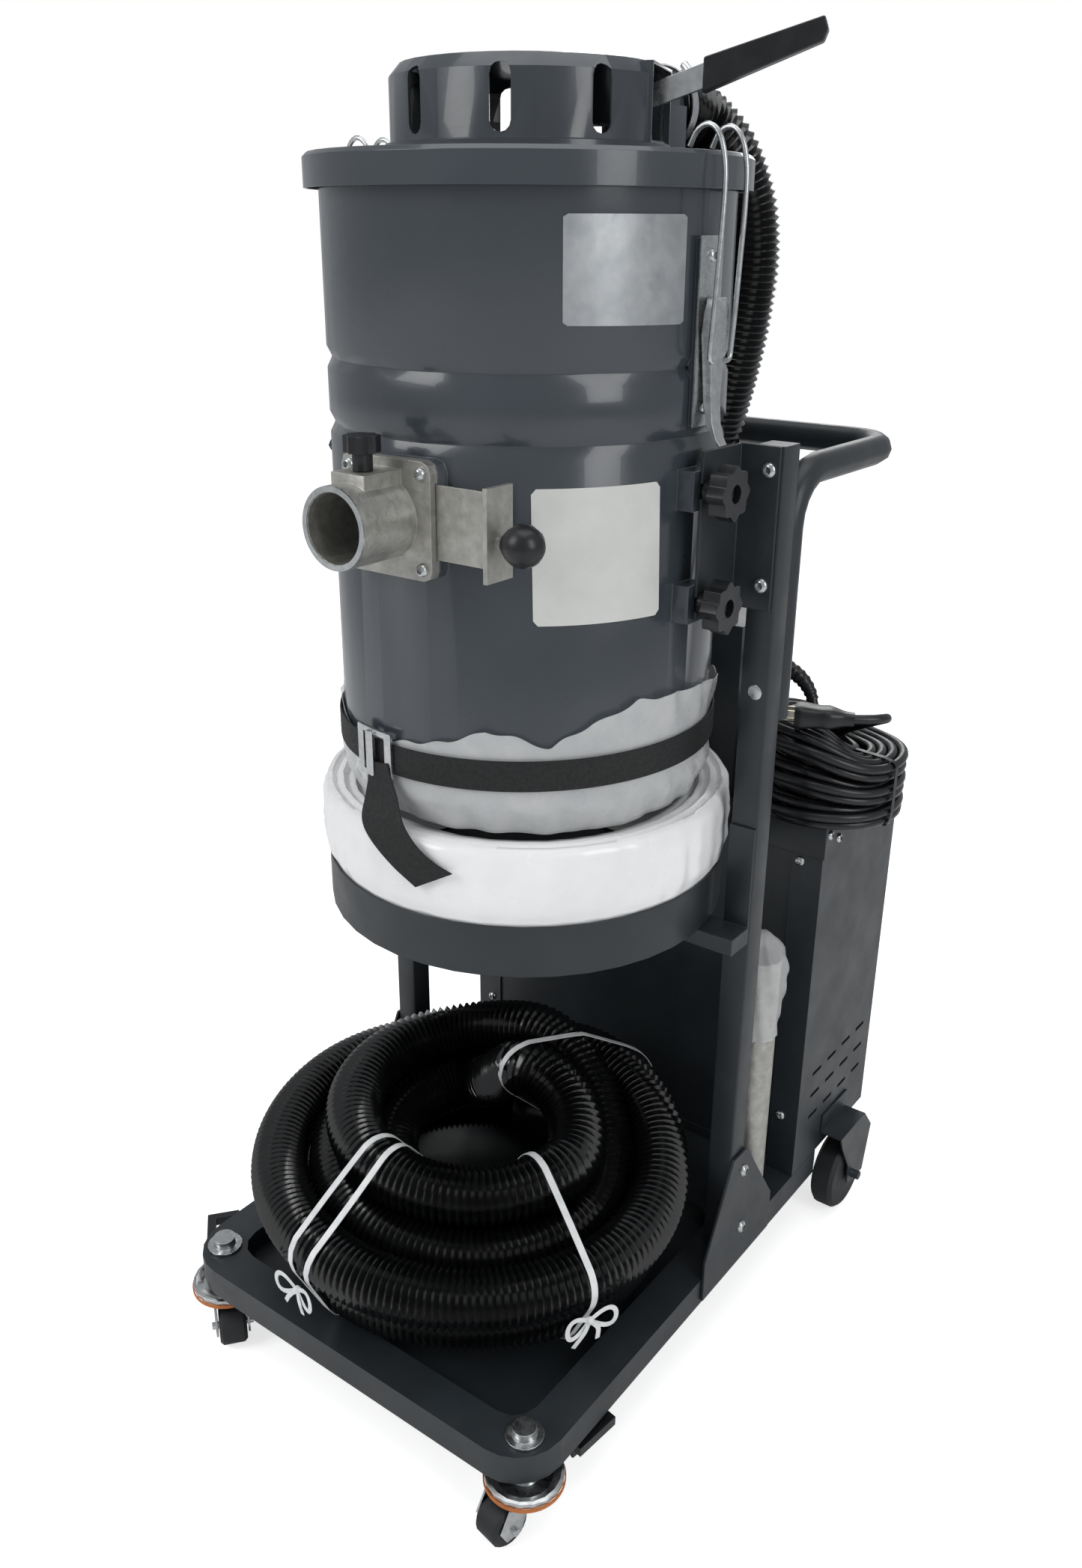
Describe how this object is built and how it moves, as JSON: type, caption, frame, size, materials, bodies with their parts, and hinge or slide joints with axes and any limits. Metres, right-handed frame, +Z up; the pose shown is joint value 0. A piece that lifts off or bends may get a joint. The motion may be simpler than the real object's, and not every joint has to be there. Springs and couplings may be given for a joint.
{
  "type": "dust collector",
  "caption": "Wheeled industrial dust extractor: hanging filter tank with a purge lever on top, a bag pack below it, and a rear motor box.",
  "frame": {"origin": "on the floor, under the middle of the machine's overall box, without the power cable", "axes": "+Z up; -Y is the front, where the suction port faces; +X is the right side seen from the front"},
  "size_m": [0.5327, 0.6466, 1.1452],
  "materials": {
    "graphite_powder_coat": "fine textured powder coat",
    "slate_enamel": "gloss enamel",
    "zinc": "bright zinc plate",
    "cast_aluminium": "as cast",
    "black_plastic": "moulded",
    "black_rubber": "matt",
    "tyre_rubber": "solid tyre",
    "hose_plastic": "corrugated, glossy",
    "webbing": "woven strap",
    "bag_film": "thin polyethylene film, folded",
    "filter_fabric": "coated polyester",
    "motor_steel": "plated shell"
  },
  "bodies": {
    "frame": {"deck": "graphite_powder_coat", "post_left": "graphite_powder_coat", "post_right": "graphite_powder_coat", "gusset_left": "graphite_powder_coat", "gusset_right": "graphite_powder_coat", "motor_box": "graphite_powder_coat", "box_front_panel": "graphite_powder_coat", "box_strap": "graphite_powder_coat", "motor_head": "graphite_powder_coat", "motor": "motor_steel", "cable_gland": "black_plastic", "power_cable": "black_rubber", "cable_hank": "black_rubber", "plug": "black_plastic", "handle": "graphite_powder_coat", "caster_cup_left": "zinc", "caster_cup_right": "zinc", "rear_bracket_left": "graphite_powder_coat", "rear_bracket_right": "graphite_powder_coat", "suction_hose": "hose_plastic", "wand": "cast_aluminium", "lid_hose": "hose_plastic"},
    "carriage": {"bracket_left": "graphite_powder_coat", "bracket_right": "graphite_powder_coat", "tank": "slate_enamel", "filter_drum": "filter_fabric", "lid_gasket": "black_rubber", "lid": "slate_enamel", "purge_cover": "slate_enamel", "inlet_port": "cast_aluminium", "bag_pan": "graphite_powder_coat", "pan_saddle": "graphite_powder_coat", "bag_pack": "bag_film", "bag_film": "bag_film", "strap": "webbing", "strap_buckle": "zinc"},
    "bracket_knob_right_1": {"bracket_knob_right_1": "black_plastic"},
    "bracket_knob_right_2": {"bracket_knob_right_2": "black_plastic"},
    "bracket_knob_left_1": {"bracket_knob_left_1": "black_plastic"},
    "bracket_knob_left_2": {"bracket_knob_left_2": "black_plastic"},
    "inlet_knob": {"inlet_knob": "black_plastic"},
    "gate": {"gate_plate": "cast_aluminium", "gate_knob": "black_plastic"},
    "purge_lever": {"purge_lever": "zinc", "lever_grip": "black_rubber"},
    "purge_flap": {"purge_flap": "black_rubber"},
    "latch_lever_right": {"latch_lever_right": "zinc"},
    "latch_bail_right": {"latch_bail_right": "zinc"},
    "latch_lever_left": {"latch_lever_left": "zinc"},
    "latch_bail_left": {"latch_bail_left": "zinc"},
    "caster_fork_right": {"caster_fork_right": "zinc"},
    "caster_wheel_right": {"caster_wheel_right": "tyre_rubber"},
    "caster_pedal_right": {"caster_pedal_right": "black_plastic"},
    "rear_wheel_right": {"rear_wheel_right": "tyre_rubber"},
    "caster_fork_left": {"caster_fork_left": "zinc"},
    "caster_wheel_left": {"caster_wheel_left": "tyre_rubber"},
    "caster_pedal_left": {"caster_pedal_left": "black_plastic"},
    "rear_wheel_left": {"rear_wheel_left": "tyre_rubber"},
    "impeller": {"impeller": "cast_aluminium"},
    "power_switch": {"power_switch": "black_plastic"}
  },
  "joints": [
    {"name": "height_slide", "type": "slide", "parent": "frame", "child": "carriage", "axis": [0, 0, 1], "range_m": [-0.14, 0], "deforming": ["lid_hose"]},
    {"name": "bracket_knob_right_1_turn", "type": "hinge", "parent": "carriage", "child": "bracket_knob_right_1", "pos_m": [0.18537, -0.04373, 0.831], "axis": [1, 0, 0], "range_deg": [0, 720]},
    {"name": "bracket_knob_right_2_turn", "type": "hinge", "parent": "carriage", "child": "bracket_knob_right_2", "pos_m": [0.18537, -0.04373, 0.745], "axis": [1, 0, 0], "range_deg": [0, 720]},
    {"name": "bracket_knob_left_1_turn", "type": "hinge", "parent": "carriage", "child": "bracket_knob_left_1", "pos_m": [-0.16323, -0.04373, 0.831], "axis": [-1, 0, 0], "range_deg": [0, 720]},
    {"name": "bracket_knob_left_2_turn", "type": "hinge", "parent": "carriage", "child": "bracket_knob_left_2", "pos_m": [-0.16323, -0.04373, 0.745], "axis": [-1, 0, 0], "range_deg": [0, 720]},
    {"name": "inlet_knob_turn", "type": "hinge", "parent": "carriage", "child": "inlet_knob", "pos_m": [0.01107, -0.22723, 0.8415], "axis": [0, 0, 1], "range_deg": [0, 720]},
    {"name": "gate_slide", "type": "slide", "parent": "carriage", "child": "gate", "axis": [1, 0, 0], "range_m": [-0.055, 0]},
    {"name": "purge_lever_tilt", "type": "hinge", "parent": "carriage", "child": "purge_lever", "pos_m": [0.06709, -0.01323, 1.0868], "axis": [-0.3584, 0.9336, 0], "range_deg": [0, 12], "stiffness_Nm_per_rad": 5, "springref_deg": -6.88},
    {"name": "purge_flap_lift", "type": "slide", "parent": "carriage", "child": "purge_flap", "axis": [0, 0, 1], "range_m": [0, 0.0106]},
    {"name": "latch_lever_right_swing", "type": "hinge", "parent": "carriage", "child": "latch_lever_right", "pos_m": [0.17907, -0.03473, 0.962], "axis": [0, -1, 0], "range_deg": [0, 120]},
    {"name": "latch_bail_right_swing", "type": "hinge", "parent": "latch_lever_right", "child": "latch_bail_right", "pos_m": [0.18407, -0.03473, 0.922], "axis": [0, -1, 0], "range_deg": [-120, 0]},
    {"name": "latch_lever_left_swing", "type": "hinge", "parent": "carriage", "child": "latch_lever_left", "pos_m": [-0.15693, -0.03473, 0.962], "axis": [0, 1, 0], "range_deg": [0, 120]},
    {"name": "latch_bail_left_swing", "type": "hinge", "parent": "latch_lever_left", "child": "latch_bail_left", "pos_m": [-0.16193, -0.03473, 0.922], "axis": [0, 1, 0], "range_deg": [-120, 0]},
    {"name": "caster_right_swivel", "type": "hinge", "parent": "frame", "child": "caster_fork_right", "pos_m": [0.19457, -0.27673, 0.0437], "axis": [0, 0, 1], "continuous": true},
    {"name": "caster_right_roll", "type": "hinge", "parent": "caster_fork_right", "child": "caster_wheel_right", "pos_m": [0.19006, -0.30234, 0.0195], "axis": [0.9848, -0.1736, 0], "continuous": true},
    {"name": "caster_right_brake", "type": "hinge", "parent": "caster_fork_right", "child": "caster_pedal_right", "pos_m": [0.20325, -0.22749, 0.0412], "axis": [-0.9848, 0.1736, 0], "range_deg": [0, 12]},
    {"name": "rear_wheel_right_roll", "type": "hinge", "parent": "frame", "child": "rear_wheel_right", "pos_m": [0.22907, 0.25327, 0.0435], "axis": [1, 0, 0], "continuous": true},
    {"name": "caster_left_swivel", "type": "hinge", "parent": "frame", "child": "caster_fork_left", "pos_m": [-0.17243, -0.27673, 0.0437], "axis": [0, 0, 1], "continuous": true},
    {"name": "caster_left_roll", "type": "hinge", "parent": "caster_fork_left", "child": "caster_wheel_left", "pos_m": [-0.15194, -0.29274, 0.0195], "axis": [0.6157, 0.788, 0], "continuous": true},
    {"name": "caster_left_brake", "type": "hinge", "parent": "caster_fork_left", "child": "caster_pedal_left", "pos_m": [-0.21183, -0.24595, 0.0412], "axis": [-0.6157, -0.788, 0], "range_deg": [0, 12]},
    {"name": "rear_wheel_left_roll", "type": "hinge", "parent": "frame", "child": "rear_wheel_left", "pos_m": [-0.20693, 0.25327, 0.0435], "axis": [1, 0, 0], "continuous": true},
    {"name": "impeller_spin", "type": "hinge", "parent": "frame", "child": "impeller", "pos_m": [0.01107, 0.23577, 0.2636], "axis": [0, 0, 1], "continuous": true},
    {"name": "power_switch_rock", "type": "hinge", "parent": "frame", "child": "power_switch", "pos_m": [-0.04893, 0.23927, 0.625], "axis": [1, 0, 0], "range_deg": [0, 10]}
  ],
  "couplings": [
    {"joint": "purge_flap_lift", "follows": "purge_lever_tilt", "m_per_rad": 0.05},
    {"joint": "latch_bail_right_swing", "follows": "latch_lever_right_swing", "ratio": -1},
    {"joint": "latch_bail_left_swing", "follows": "latch_lever_left_swing", "ratio": -1}
  ]
}
